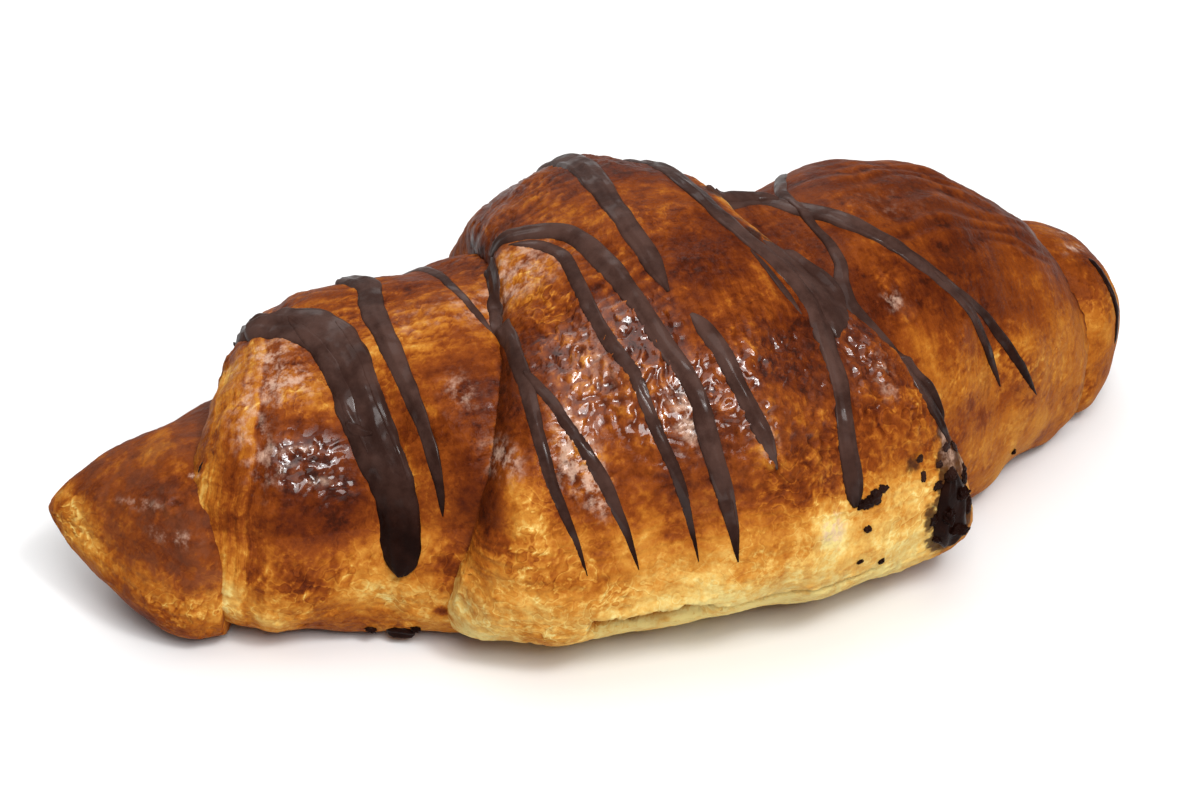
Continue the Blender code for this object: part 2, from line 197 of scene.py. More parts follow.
# Patches of the crust: place, angle, reach, spread, then what they add to bake, blister, gloss and flake
PATCHES = (
    (-58, 40, 6.5, 14, 0.26, 1.0, 1.0, -0.6),
    (-54, 27, 3.5, 7, 0.10, 0.8, 0.9, -0.4),
    (-56, 72, 7, 12, -0.20, 0.1, 0.1, 0.6),
    (-61, 62, 4, 6, 0.14, 0, 0.1, 0),
    (-59, 14, 9, 11, 0.32, 0.3, 0.1, 0),
    (-60, -13, 9, 9, 0.36, 0, -0.1, 0.9),
    (-48, -20, 10, 9, -0.20, 0, -0.2, 0.3),
    (-37, 25, 2.0, 10, 0.40, -0.2, 1.0, -0.8),
    (-33, 58, 4, 22, 0.16, 0.2, 0.5, -0.2),
    (-38, 46, 5, 9, 0.14, 0.3, 0.5, 0),
    (-44, 88, 7, 12, -0.14, 0, 0.2, 0.1),
    (-45, 33, 1.6, 9, -0.25, 0, 0.2, 0.6),
    (-46, 4, 7, 8, -0.10, 0, -0.1, 0.4),
    (-32, 20, 3, 9, -0.16, 0, 0.1, 0.5),
    (-28, 30, 3, 9, 0.10, 0.4, 0.6, 0),
    (-30, 10, 5, 6, 0.18, 0.3, 0.4, 0.4),
    (-27, 2, 8, 6, 0.16, 0, 0.1, 0.4),
    (-22, -3, 9, 5, 0.14, 0, 0, 0.3),
    (-33, -12, 5, 10, 0.12, 0, 0, 0.3),
    (-25, -14, 7, 6, 0.12, 0, 0, 0.3),
    (8, 78, 6, 10, 0.20, 0.2, 0, 0),
    (-39, -12, 4, 16, 0.04, 0, 0, 0.3),
    (40, -45, 9, 26, 0.34, 0, 0, 0.2),
    (36, -22, 5, 9, 0.14, 0, 0, 0.2),
    (-34, 10, 4, 6, 0.10, 0, 0, 0.2),
    (16, -6, 8, 6, 0.10, 0, 0, 0.2),
    (58, 8, 9, 16, 0.06, 0, 0, 0),
    (28, 55, 4, 12, 0.14, 0, 0, 0),
    (29, 36, 5, 14, 0.14, 0.1, 0.2, 0),
    (40, 52, 6, 10, 0.14, 0, 0.2, 0),
    (80, 20, 6, 22, 0.12, 0, 0.1, 0),
    (84, 50, 5, 20, 0.12, 0, 0.2, 0),
    (2, 72, 8, 8, 0.08, 0.2, 0.2, 0),
    (6, 16, 10, 7, 0.08, 0.1, 0.2, 0.2),
    (52, 4, 9, 9, 0.08, 0, 0.1, 0.2),
    (84, 40, 6, 20, 0.08, 0, 0, 0),
    (-20, 74, 4, 16, 0.02, 0.3, 0.2, 0.8),
    (-20, 86, 12, 12, -0.16, 0, 0.3, 0.2),
    (-30, -22, 6, 14, 0.20, 0, 0, 0.2),
    (38, -12, 4, 18, 0.26, 0, 0, 0.2),
    (-20, 54, 4, 10, 0.02, 0.7, 0.6, 0.4),
    (-13, 60, 5, 12, 0.04, 0.8, 0.6, 0.3),
    (-11, 42, 9, 10, 0.02, 0.85, 0.9, 0.1),
    # lighter bake here is part of the painted highlight at this spot
    (-24, 32, 2.6, 9, -0.14, 1.0, 1.0, 0),
    (-14, 22, 8, 7, 0.10, 0.2, 0.7, -0.5),
    (-23, 16, 3, 6, 0.10, 0.4, 0.5, 0),
    (-5, 12, 4, 6, 0.02, 0.2, 0.5, 0),
    (2, 88, 7, 10, 0.06, 0, 0.2, 0.2),
    (3, 66, 8, 10, 0.20, 0.2, 0.2, 0),
    (6, 44, 7, 8, 0.08, 0.7, 0.4, 0.2),
    (13, 44, 5, 9, 0.14, 0.35, 0, 0),
    (-37, -4, 3, 12, 0.12, 0, 0, 0.2),
    (2, 28, 2.5, 8, -0.06, 0.7, 0.8, 0),
    (23, 36, 4, 14, 0.08, 0.6, 0.4, 0.5),
    (29, 26, 2.5, 9, -0.06, 0.3, 0.3, 0.6),
    (10, 24, 6, 8, 0, 0.4, 0.2, 0.4),
    (14, 12, 7, 6, -0.06, 0, 0.1, 0.6),
    (2, 14, 5, 6, 0.04, 0.1, 0.2, 0.3),
    (27, 8, 5, 9, 0.02, 0.2, 0.1, 0.6),
    (12, 6, 2.4, 4, -0.42, 0, -0.2, 0.6),
    (19, 102, 4, 12, -0.04, 0, 0.2, 0.2),
    (32, 96, 5, 8, -0.10, 0, 0.4, 0),
    (54, 108, 1.2, 4, -0.55, 0, 0, 0),
    (34, 64, 4, 12, 0, 0.1, 0.2, 0.3),
    (50, 66, 9, 16, 0.10, 0, 0.2, -0.3),
    (56, 40, 8, 12, 0.06, 0, 0.2, -0.2),
    (36, 48, 3, 5, -0.06, 0.6, 0.7, 0),
    (52, 20, 10, 10, -0.10, 0, 0.1, 0.4),
    (62, 8, 6, 10, -0.12, 0, 0, 0.3),
    (72, 84, 3, 20, 0.10, 0, 0.3, 0),
    (80, 66, 5, 24, -0.10, 0, 0, 0.2),
    (84, 5, 6, 16, -0.10, 0, 0, 0.3),
    (-82.5, 22, 1.8, 8, -0.04, 0.8, 0.9, 0),
    (-76, 21, 2.2, 9, -0.04, 0.8, 0.9, 0),
    (-76, -10, 6, 9, 0.06, 0.2, 0.1, 0.3),
    (-89.5, -70, 2.6, 60, -0.28, 0, -0.1, 0.4),
    # painted shade: a narrow dark mark standing for a small tear low at the centre's left lip
    (-41.4, -24, 1.1, 2.2, 0.60, 0, 0, 0),
    (-73, 50, 3.2, 22, -0.24, 0, -0.3, -0.3),
    (-88, 14, 3.2, 50, -0.44, 0, -0.1, 0.4),
    (-75, -30, 9, 8, -0.20, 0, -0.2, 0.9),
)
# Patches that stay clear of the left horn's dull bloom: place, angle, reach, spread, strength
UNDULLED = (
    (-73, 50, 3.2, 22, 1.0), (-88, 14, 3.2, 50, 1.0), (-75, -30, 9, 8, 1.0),
)
# Thin films of chocolate: place, angle, reach, spread, strength
SMEARS = (
    (14, 80, 4, 12, 0.6), (19, 72, 4, 10, 0.6), (22, 60, 5, 9, 0.5), (-37.5, 106, 2.2, 12, 0.6),
    (34.6, -2, 4.2, 13, 1.9), (34.6, 13, 3.0, 8, 1.1), (27, 14, 2, 5, 0.5), (20, 12, 3, 5, 0.4),
)
# Painted highlights and sheen on the glaze, as pink-white spots of colour: place, angle, reach, spread,
# strength
PAINTED_HIGHLIGHTS = (
    (-24.5, 33, 2.6, 9, 2.0), (-22, 24, 1.8, 6, 1.2), (-61, 42, 1.4, 4, 1.0), (-58, 48, 2.4, 2.2, 1.0),
    (-57, 33, 2.6, 2.4, 0.9), (-72, 44, 0.6, 2, 1.8), (-64, 56, 3, 26, 0.8), (-35, 56, 3, 9, 0.7),
    (-33, 34, 2, 7, 0.9), (-17, 54, 4, 10, 0.5), (-8, 36, 3, 8, 1.0), (2, 30, 2, 5, 1.0),
    (12, 6, 2.2, 4, 1.6), (34.5, 14, 2.2, 5, 1.0), (37.8, 6, 1.0, 9, 1.3), (34.4, 6, 1.0, 2, 1.2),
    (33.4, -6, 1.0, 1.6, 1.1), (35.6, 1.5, 0.8, 1.6, 1.2), (-22, 87, 9, 8, 0.9), (-38, 86, 6, 7, 0.35),
    (25, 34, 2, 6, 0.8), (34, 52, 2, 4, 0.9), (-80, 24, 3, 6, 0.9), (-77, 6, 3, 5, 0.9),
    (-57, 80, 5, 12, 1.2), (42, 86, 9, 7, 0.3), (82, 66, 4, 12, 1.0),
)
# Patches with fine ripples along the roll: place, angle, reach, spread, strength
RIPPLES = (
    (-39, 84, 9, 16, 0.9), (-8, 62, 4, 12, 1.0), (-13, 72, 5, 10, 0.6), (-33, 40, 5, 10, 0.4),
    (-8, 30, 5, 8, 0.4),
)
# Patches with soft folds along the right shoulder: place, angle, reach, spread, strength
FOLDS = (
    (52, 84, 13, 22, 1.0), (66, 60, 8, 16, 0.7), (40, 70, 8, 8, 0.5),
)
# How baked each piece is: lean in degrees from the level of the roll's middle, and bake
BAKED = {
    "centre": ((-60, 0.10), (-22, 0.05), (-6, 0.07), (4, 0.26), (14, 0.50), (28, 0.66), (44, 0.74),
               (90, 0.74)),
    "left_shoulder": ((-60, 0.50), (-34, 0.45), (-16, 0.51), (0, 0.60), (16, 0.70), (40, 0.72), (90, 0.70)),
    "right_shoulder": ((-60, 0.55), (-25, 0.47), (0, 0.48), (18, 0.55), (40, 0.72), (70, 0.76), (90, 0.76)),
    "left_horn": ((-70, 0.66), (-45, 0.58), (-25, 0.62), (0, 0.77), (50, 0.80), (90, 0.72)),
    "right_horn": ((-60, 0.58), (-20, 0.49), (10, 0.49), (40, 0.60), (90, 0.68)),
}
# How rough, how streaked and how blistered each piece is
SURFACE = {
    "centre": (1.0, 0.7, 0.2),
    "left_shoulder": (1.0, 0.8, 0.1),
    "right_shoulder": (0.55, 0.8, 0.0),
    "left_horn": (0.9, 0.1, 0.1),
    "right_horn": (0.6, 0.4, 0.0),
}
# Bands along the left collar: distance in from the edge, and what they add to the bake
COLLAR_BANDS = ((0, -0.18), (1.4, -0.26), (3.0, -0.23), (4.6, -0.16), (6.4, -0.22),
                (7.8, 0.04), (8.8, 0.10), (10.0, -0.04), (12.0, 0.0))
# No crust is baked further than this
MOST_BAKED = 0.88
# The steps between the pale layers low on the centre: height and depth
LAYER_STEPS = ((9.2, 0.30), (6.4, 0.55), (3.6, 0.6), (1.8, 0.4))

# Colours of the crust from raw to burnt, then of its dull bloom, its painted highlights and its films
CRUST_STOPS = (
    (0.00, (0.67, 0.53, 0.195, 1)),
    (0.14, (0.61, 0.365, 0.090, 1)),
    (0.30, (0.465, 0.190, 0.026, 1)),
    (0.46, (0.33, 0.098, 0.009, 1)),
    (0.62, (0.19, 0.040, 0.004, 1)),
    (0.78, (0.112, 0.020, 0.0022, 1)),
    (0.90, (0.072, 0.0115, 0.002, 1)),
    (1.00, (0.036, 0.006, 0.0015, 1)),
)
DULL_BROWN = (0.132, 0.040, 0.017, 1)
PAINTED_HIGHLIGHT_PINK = (0.57, 0.37, 0.27, 1)
FILM_BROWN = (0.032, 0.011, 0.006, 1)
# Chocolate low down, with painted shade, and high up, with painted light and sheen: the darker and the
# paler of its patches
SHADED_CHOCOLATE = ((0.007, 0.0018, 0.0010, 1), (0.015, 0.0046, 0.0028, 1))
LIT_CHOCOLATE = ((0.032, 0.0142, 0.0105, 1), (0.065, 0.0325, 0.0250, 1))

# The camera: degrees round and up, millimetres away, the width it sees there, and where it aims
CAMERA_TURN = 23.05
CAMERA_RISE = 33.3
CAMERA_DISTANCE = 650.0
FRAME_WIDTH = 185.0
SENSOR = 36.0
AIM_HEIGHT = 30.0
AIM_SETBACK = 1.5
AIM_LEFT = 6.2
AIM_DOWN = 4.9

# Lights: place and size in metres, and watts
SOFTBOXES = {
    "key": ((-0.08, -0.66, 0.80), (0.60, 0.50), 9.4),
    "sparkle": ((0.08, -0.62, 0.84), (0.16, 0.16), 3.0),
    "top": ((-0.1, 0.1, 1.1), (1.2, 1.2), 6.8),
    "back": ((0.10, 0.90, 0.60), (1.0, 0.6), 3.6),
}
FLOOR_GREY = 0.80
SKY = 0.20


def smooth(x, stations, column):
    """One column of the stations at x, by a cubic that stays level past the ends."""
    places, values = np.array(stations, float)[:, [0, column]].T
    slopes = np.diff(values) / np.diff(places)
    inner = (values[2:] - values[:-2]) / (places[2:] - places[:-2])
    slopes = np.concatenate((slopes[:1], inner, slopes[-1:]))
    x = np.clip(x, places[0], places[-1])
    i = np.clip(np.searchsorted(places, x, side="right") - 1, 0, len(places) - 2)
    span = places[i + 1] - places[i]
    t = (x - places[i]) / span
    return ((2 * t**3 - 3 * t**2 + 1) * values[i] + (t**3 - 2 * t**2 + t) * span * slopes[i]
            + (3 * t**2 - 2 * t**3) * values[i + 1] + (t**3 - t**2) * span * slopes[i + 1])


def ease(x, low, high):
    """0 below low, 1 above high, and smooth between."""
    t = np.clip((x - low) / (high - low), 0, 1)
    return t * t * (3 - 2 * t)


class Noise:
    """Smooth three-way noise between about -1 and 1."""

    def __init__(self, seed):
        draw = np.random.default_rng(seed)
        self.order = draw.permutation(256)
        slopes = draw.normal(size=(256, 3))
        self.slopes = slopes / np.linalg.norm(slopes, axis=1)[:, None]

    def __call__(self, p):
        cell = np.floor(p).astype(int)
        part = p - cell
        fade = part**3 * (part * (part * 6 - 15) + 10)
        total = np.zeros(p.shape[:-1])
        for corner in itertools.product((0, 1), repeat=3):
            c = np.array(corner)
            a, b, d = np.moveaxis((cell + c) & 255, -1, 0)
            slope = self.slopes[self.order[(self.order[(self.order[a] + b) & 255] + d) & 255]]
            weight = np.prod(np.where(c, fade, 1 - fade), axis=-1)
            total += weight * np.sum(slope * (part - c), axis=-1)
        return total * 1.5

    def rough(self, p, octaves, gain=0.5):
        """Several octaves of the noise, each finer and fainter."""
        return sum(self(p * 2**k + 17.3 * k) * gain**k for k in range(octaves))


def cells(p, seed):
    """Distance to the nearest and the second nearest of scattered points, one in each unit cell."""
    home = np.floor(p).astype(int)
    nearest = np.full(p.shape[:-1], 9.0)
    second = nearest.copy()
    draw = np.random.default_rng(seed)
    order = draw.permutation(256)
    jitter = draw.random((256, 3))
    for step in itertools.product((-1, 0, 1), repeat=3):
        c = home + np.array(step)
        a, b, d = np.moveaxis(c & 255, -1, 0)
        point = c + jitter[order[(order[(order[a] + b) & 255] + d) & 255]]
        away = np.linalg.norm(p - point, axis=-1)
        second = np.minimum(second, np.maximum(away, nearest))
        nearest = np.minimum(nearest, away)
    return nearest, second


broad_noise = Noise(11)
mid_noise = Noise(23)
fine_noise = Noise(37)
layer_noise = Noise(53)


def stacked(*parts):
    """Coordinates of many points put together along a new last axis."""
    return np.stack(np.broadcast_arrays(*parts), axis=-1)


def edge_x(edge, a):
    """Place of a turn's edge at angle a."""
    middle, lean_top, lean_front, lean_back = edge
    c = np.cos(a)
    return middle + lean_top * np.sin(a) + np.where(c > 0, lean_front * c, -lean_back * c)


def lumps(x, a):
    """Uneven swelling of the dough, from a few slow waves."""
    return (0.42 * np.sin(0.19 * x + 2 * a + 0.6) + 0.30 * np.sin(0.31 * x - 3 * a + 2.1)
            + 0.22 * np.sin(0.47 * x + 4 * a + 4.0) + 0.16 * np.sin(0.11 * x - 5 * a + 1.2))


def section(x, a, middle_y, middle_z, half, rise, fall, low, floor):
    """Points of a rounded section, flat where it lies."""
    c, s = np.cos(a), np.sin(a)
    power = np.where(s > 0, 2 / SQUARE_UP, 2 / low)
    y = middle_y - half * np.sign(c) * np.abs(c) ** power
    z = middle_z + np.where(s > 0, rise, -fall) * np.abs(s) ** power
    z = floor + FLOOR_BLEND * np.logaddexp(0, (z - floor) / FLOOR_BLEND)
    return stacked(x, y, z)


def ring_angles(points):
    """Angles round a section, closer together at the upper front than behind."""
    even = 2 * math.pi * (np.arange(points) + 0.5) / points - math.pi / 2
    return even - CROWDED * np.sin(even - math.pi / 4)


def turn_rows(full_length, left_profile, right_profile):
    """Rows of one turn: share of the way, distance from each edge, and the drop there."""
    rows = []
    for k in range(WALL_ROWS):
        t = 1 - k / WALL_ROWS
        rows.append((0.0, UNDERCUT * t, 0.0, left_profile[0][1] + LIP_WALL * t))
    for d in np.arange(0, left_profile[-1][0], FINE_EDGE):
        rows.append((0.0, d, 0.0, np.nan))
    length = full_length - left_profile[-1][0] - right_profile[-1][0]
    plain = max(int(length / ROW_STEP), 2)
    for k in range(plain + 1):
        rows.append((k / plain, left_profile[-1][0], right_profile[-1][0], np.nan))
    for d in np.arange(0, right_profile[-1][0], FINE_EDGE)[::-1]:
        rows.append((1.0, 0.0, d, np.nan))
    for k in range(1, WALL_ROWS + 1):
        t = k / WALL_ROWS
        rows.append((1.0, 0.0, UNDERCUT * t, right_profile[0][1] + LIP_WALL * t))
    return np.array(rows)


def edge_drop(d, profile):
    """Drop below the full surface at distance d in from an edge."""
    return smooth(d, profile, 1) * (d < profile[-1][0] + 2)


def turn_grid(left, right, profiles, stations, shape, points):
    """Points of one turn of dough as rows by places round it, with each point's place and angle."""
    rows = turn_rows(edge_x(right, 0) - edge_x(left, 0), *profiles)
    a = ring_angles(points)[None, :]
    ragged = stacked(np.cos(a) * 3.1, np.sin(a) * 3.1, 0)
    share, from_left, from_right, drop = (rows[:, k][:, None] for k in range(4))
    start = edge_x(left, a) + RAGGED * mid_noise.rough(ragged, 3) + from_left
    end = edge_x(right, a) + RAGGED * mid_noise.rough(ragged + 9.5, 3) - from_right
    x = start + (end - start) * share
    waver = WAVER * fine_noise.rough(stacked(x * 0.12, np.cos(a) * 6, np.sin(a) * 6), 3)
    d_left, d_right = x - edge_x(left, a) + waver, edge_x(right, a) - x + waver
    lip = edge_drop(np.maximum(d_left, 0), profiles[0]) + edge_drop(np.maximum(d_right, 0), profiles[1])
    drop = np.where(np.isnan(drop), lip, drop + 0 * a)
    front, crest = smooth(x, stations, 1), smooth(x, stations, 2)
    ratio, low, floor = shape
    half = crest / 2 / ratio
    shrink = 1 - (drop - lumps(x, a) * (drop < LIP_WALL)) / half
    middle_z = BELLY * crest
    spots = section(x, a, front + half, middle_z, half * shrink, (crest - middle_z) * shrink,
                    (middle_z + SQUASH) * shrink, low, floor)
    return spots, x, a + 0 * x, np.minimum(d_left, d_right)


def horn_grid(tip, edge, root, rows, points):
    """Points of one horn from near its tip to its root inside the shoulder."""
    tip_x, tip_y, tip_z, blunt = tip
    front, crest = root
    ratio, low, floor = HORN_SECTION
    half = crest / 2 / ratio
    belly = BELLY * crest
    a = ring_angles(points)[None, :]
    t = 1 - (1 - HORN_ROOT) * (np.arange(1, rows + 1)[:, None] / rows) ** 1.35
    swell = (1 - np.maximum(t, 0) ** blunt) ** (1 / blunt)
    x = edge_x(edge, a) + (tip_x - edge_x(edge, a)) * t
    grown = swell * (1 + lumps(x, a) / half)
    spots = section(x, a, tip_y + (front + half - tip_y) * swell**1.3, tip_z + (belly - tip_z) * swell,
                    half * grown, (crest - belly) * grown, (belly + SQUASH) * grown, low, floor)
    return spots, x, a + 0 * x, FAR_FROM_EDGE + 0 * x


def normals_of(spots):
    """Outward normals of a grid of points that closes round its second axis."""
    along = np.gradient(spots, axis=0)
    around = np.roll(spots, -1, axis=1) - np.roll(spots, 1, axis=1)
    normal = np.cross(along, around)
    return normal / np.maximum(np.linalg.norm(normal, axis=-1, keepdims=True), 1e-9)


def patch(x, lean, place, angle, reach, spread):
    """1 in the middle of a patch of the crust and 0 past its rim."""
    return np.exp(-((x - place) / reach) ** 2 - ((lean - angle) / spread) ** 2)


def spotted(x, lean, table):
    """Strengths of a table's patches, added up at each point."""
    return sum(patch(x, lean, *where) * strength for *where, strength in table)


def patched(x, lean, behind, values):
    """Bake, blister, gloss and flake, with what each patch of the crust adds to them."""
    for *where, bake, blister, gloss, flake in PATCHES:
        here = patch(x, lean, *where) * np.where(behind, 0.5, 1.0)
        values = [value + more * here for value, more in zip(values, (bake, blister, gloss, flake))]
    return values


def base_layers(x, y, z):
    """Depth of the ragged ledges and slits between the pale layers low on the centre."""
    ragged = 0.7 * fine_noise(stacked(x / 2.2, z / 8, 3)) + 0.9 * mid_noise(stacked(x / 7, 0, 9))
    front = y < 0
    flap = np.where(front, 14.4 + 0.05 * (x + 18), 11.0) + ragged
    under_flap = np.where(front, ease(x, -25, -21) * ease(-x, 5, 9), 0.25)
    below = flap - z
    slit = 3.6 * under_flap * ease(below, 0.0, 0.35) * ease(-below, -5.6, -3.2)
    rim = 0.6 * under_flap * ease(below, -2.4, -0.3) * (below < 0)
    beside_flap = np.where(front, ease(x, -9, -6) * ease(-x, -24, -18), 0.5)
    split = 1.2 * beside_flap * ease(-np.abs(z - (13.0 - 0.02 * x + ragged * 0.6)), -0.6, -0.1)
    steps = sum(depth * ease(level + 0.8 * ragged - z, -0.12, 0.12) for level, depth in LAYER_STEPS)
    return slit - rim + split + steps


def bubbles(p, seed):
    """Domes on scattered points, one in each unit cell, with creases between them."""
    nearest, second = cells(p, seed)
    return np.clip(1 - nearest**2 * 1.7, 0, 1) * ease(second - nearest, 0.0, 0.3)


def waves(lay, period, slant, stray, cell, shift):
    """Ridges that lie along the roll, a period apart, and wander."""
    wander = stray * mid_noise(lay / np.array([*cell, 1]) + shift)
    return np.sin(2 * np.pi * (lay[..., 1] / period + slant * lay[..., 0] + wander))


def crust_relief(spots, x, a, edge, kind):
    """Height of the crust's own relief, and what its colours and shine are made from."""
    axis_y = AXIS_SETBACK * (x / AXIS_REACH) ** 2
    y, z = spots[..., 1], spots[..., 2]
    lean = np.degrees(np.arctan2(z - AXIS_Z, np.abs(y - axis_y)))
    behind = y > axis_y
    rear = np.where(behind, 1 - ease(lean, 60, 80), 0.0)
    low_front = ease(lean, -35, -5)
    patchy = broad_noise.rough(spots / 17 + 40, 2)
    patchy_too = mid_noise.rough(spots / 9 + 12, 2)
    roughness, streaked, blistered = SURFACE[kind]
    bake = smooth(lean + 4 * patchy_too, BAKED[kind], 1)
    baked = ease(bake, 0.12, 0.5)
    bake, blister, gloss, flaky = patched(x, lean, behind, (
        bake, blistered + 0.35 * patchy, 0.30 + 0.35 * patchy, 0.30 + 0.5 * patchy_too))
    if kind == "centre":
        bake = bake + 0.24 * rear * (1 - ease(lean, -5, 25))
    calm = (1 - 0.85 * ease(lean, 56, 78)) * np.where(behind, 0.6, 1.0)
    blister = np.clip(blister, 0, 1) * ease(lean, 6, 24) * calm
    flaky = np.clip(flaky, 0, 1)

    # forms that the relief and the bake share
    dents = broad_noise(spots / 13)
    swell = mid_noise(spots / 6)
    warped = spots + 1.1 * np.stack([fine_noise(spots / 2.3 + 5 * k) for k in range(3)], -1)
    dome = bubbles(warped / 3.4, 71)
    bead = bubbles(warped / 1.9 + 30, 17)
    wrinkle = 1 - 2.6 * np.abs(fine_noise(warped / 1.9 + 3))
    lay = stacked(x, a * LAY_RADIUS, 0)
    around = layer_noise.rough(lay / np.array([1.5, 9.0, 1]), 2)
    along = layer_noise.rough(lay / np.array([10.0, 1.7, 1]) + 20, 2)
    grain = {"centre": ease(lean, 62, 80), "right_shoulder": 0.3}.get(
        kind, 0.75 + 0.25 * ease(lean, 40, 70))
    drawn = streaked * (0.35 + 0.65 * ease(lean, 15, 50))
    streak = (around * (1 - grain) + along * grain) * drawn
    step = 3.4 * layer_noise.rough(warped / np.array([15, 8, 8]) + 8, 3) % 1
    sheet = ease(step, 0.0, 0.10) * (1 - 0.75 * step)
    ripple = spotted(x, lean, RIPPLES) * waves(lay, 1.35, 0.0, 0.9, (4, 3), 7)
    fold = (kind == "right_shoulder") * spotted(x, lean, FOLDS) * waves(lay, 3.6, 0.035, 1.0, (12, 8), 3)
    recess = base_layers(x, y, z) if kind == "centre" else 0.0
    lines = layer_noise.rough(stacked((edge + 0.5 * fine_noise(spots / 4)) / 1.3, lay[..., 1] / 18, 5), 2)

    height = (0.42 * dents + 0.30 * swell + 0.20 * fold + 0.13 * ripple
              + blister * (0.40 * (dome - 0.4) + 0.18 * (bead - 0.4) + 0.40 * (wrinkle - 0.4))
              + roughness * (0.20 * streak * (0.4 + flaky) + 0.36 * flaky * (sheet - 0.4)) - recess)
    if kind == "left_shoulder":
        near_edge = lined = ease(-edge, -11.0, -7.5)
        band = smooth(edge + 0.6 * patchy_too, COLLAR_BANDS, 1)
        bake = bake + band * ease(-edge, -12, -10) * low_front
        streak = streak * (1 - near_edge)
        blister = blister * (1 - near_edge)
    else:
        near_edge = ease(-edge, -1.8, -0.4)
        lined = 0.4 * near_edge
        bake = bake - 0.10 * near_edge * np.where(x < 0, -1.2, 1)
        if kind == "centre":
            bake = bake - 0.34 * ease(-edge, -4.5, -1.5) * ease(lean, 50, 66) * (x > 5)
        if kind == "right_shoulder":
            bake = bake + 0.5 * ease(-edge, -2.4, -0.4) * ease(lean, -20, 10)
    height = height * (1 - 0.5 * near_edge) + 0.20 * lined * lines
    broken = ease(mid_noise(spots / 2.6 + 4), -0.05, 0.3) * ease(flaky, 0.4, 0.9)
    bake = (bake + baked * (0.14 * patchy + 0.12 * patchy_too - 0.10 * dents - 0.10 * swell - 0.18 * streak)
            - blister * (0.18 * (dome - 0.4) + 0.16 * (wrinkle - 0.4)) - 0.13 * ripple - 0.08 * fold
            - 0.14 * lined * lines - 0.30 * flaky * (sheet - 0.35) * (0.3 + 0.7 * baked)
            # painted shade: darker where the slits under the pale layers' ledges sink in
            + 0.80 * ease(recess, 1.6, 3.0) * ease(z, 9.0, 10.4) + 0.2 * ease(recess, 1.0, 2.2)
            # darker along the foot: painted contact shadow, and partly a browned underside
            + 0.6 * ease(-z - 0.5 * patchy_too, -1.7, -0.7)
            - 0.22 * broken * ease(step, 0.0, 0.06) * (1 - ease(step, 0.06, 0.22)))
    dull = (0.6 * ease(lean, -38, -8) if kind == "left_horn" else 0.0) + 0.2 * ease(patchy, 0.1, 0.6)
    marks = {
        "bake": np.clip(bake, 0, MOST_BAKED),
        "gloss": np.clip(gloss, 0, 1) * (0.25 + 0.75 * baked) * (0.2 + 0.8 * ease(lean, 20, 38)),
        "dull": np.clip(dull * (1 - spotted(x, lean, UNDULLED).clip(0, 1)), 0, 1),
        "flaky": flaky,
        "blister": blister,
        "grain": grain,
        "smear": spotted(x, lean, SMEARS) * (1 - rear),
        "drawn": drawn * (1 - 0.8 * lined),
        "lined": lined * low_front,
        "edge": edge,
        # painted highlights: where the finish paints pink-white glints and sheen onto the glaze
        "milky": spotted(x, lean, PAINTED_HIGHLIGHTS) * (1 - 0.8 * rear),
        "plain": float(kind in ("right_shoulder", "right_horn")),
    }
    return height, {label: np.broadcast_to(values, z.shape) for label, values in marks.items()}


def corners_of(piece):
    """Places of a mesh's points, in metres."""
    corners = np.empty(len(piece.data.vertices) * 3, np.float32)
    piece.data.vertices.foreach_get("co", corners)
    return corners.reshape(-1, 3)


def reshaped(piece, name, corners):
    """Name a mesh and move its points to places in millimetres."""
    piece.name = name
    piece.data.vertices.foreach_set("co", (corners * MM).astype(np.float32).ravel())
    piece.data.shade_smooth()
    piece.data.update()
    return piece


def ball_over(name, rings, first, last, marks):
    """A sphere whose rings are moved onto rings of points and its poles onto two points."""
    rows, points = rings.shape[:2]
    bpy.ops.mesh.primitive_uv_sphere_add(segments=points, ring_count=rows + 1, radius=BALL)
    piece = bpy.context.object
    ball = corners_of(piece)
    down = 0.5 - np.arcsin(np.clip(ball[:, 2] / BALL, -1, 1)) / np.pi
    ring = np.round(down * (rows + 1)).astype(int) - 1
    turn = np.round(np.arctan2(ball[:, 1], ball[:, 0]) / (2 * np.pi) * points).astype(int) % points
    inside = np.clip(ring, 0, rows - 1)
    corners = np.where((ring >= rows)[:, None], last, rings[inside, turn])
    corners = np.where((ring < 0)[:, None], first, corners)
    for label, values in marks.items():
        kind, field = ("FLOAT", "value") if values.ndim == 2 else ("FLOAT_VECTOR", "vector")
        layer = piece.data.attributes.new(label, kind, "POINT")
        layer.data.foreach_set(field, values[inside, turn].astype(np.float32).ravel())
    return reshaped(piece, name, corners)


def dough_piece(name, grid, first=None, last=None):
    """One piece of dough with its relief, and with what its finish needs at each point."""
    spots, x, a, edge = grid
    height, marks = crust_relief(spots, x, a, edge, name)
    floor = spots[..., 2].min()
    settled = ease(spots[..., 2], floor, floor + 1.5)
    spots = spots + normals_of(spots) * (height * settled)[..., None]
    spots[..., 2] = np.maximum(spots[..., 2], floor)
    first = spots[0].mean(0) if first is None else first
    last = spots[-1].mean(0) if last is None else last
    return ball_over(name, spots, first, last, {**marks, "lay": stacked(x, a * LAY_RADIUS, 0)})


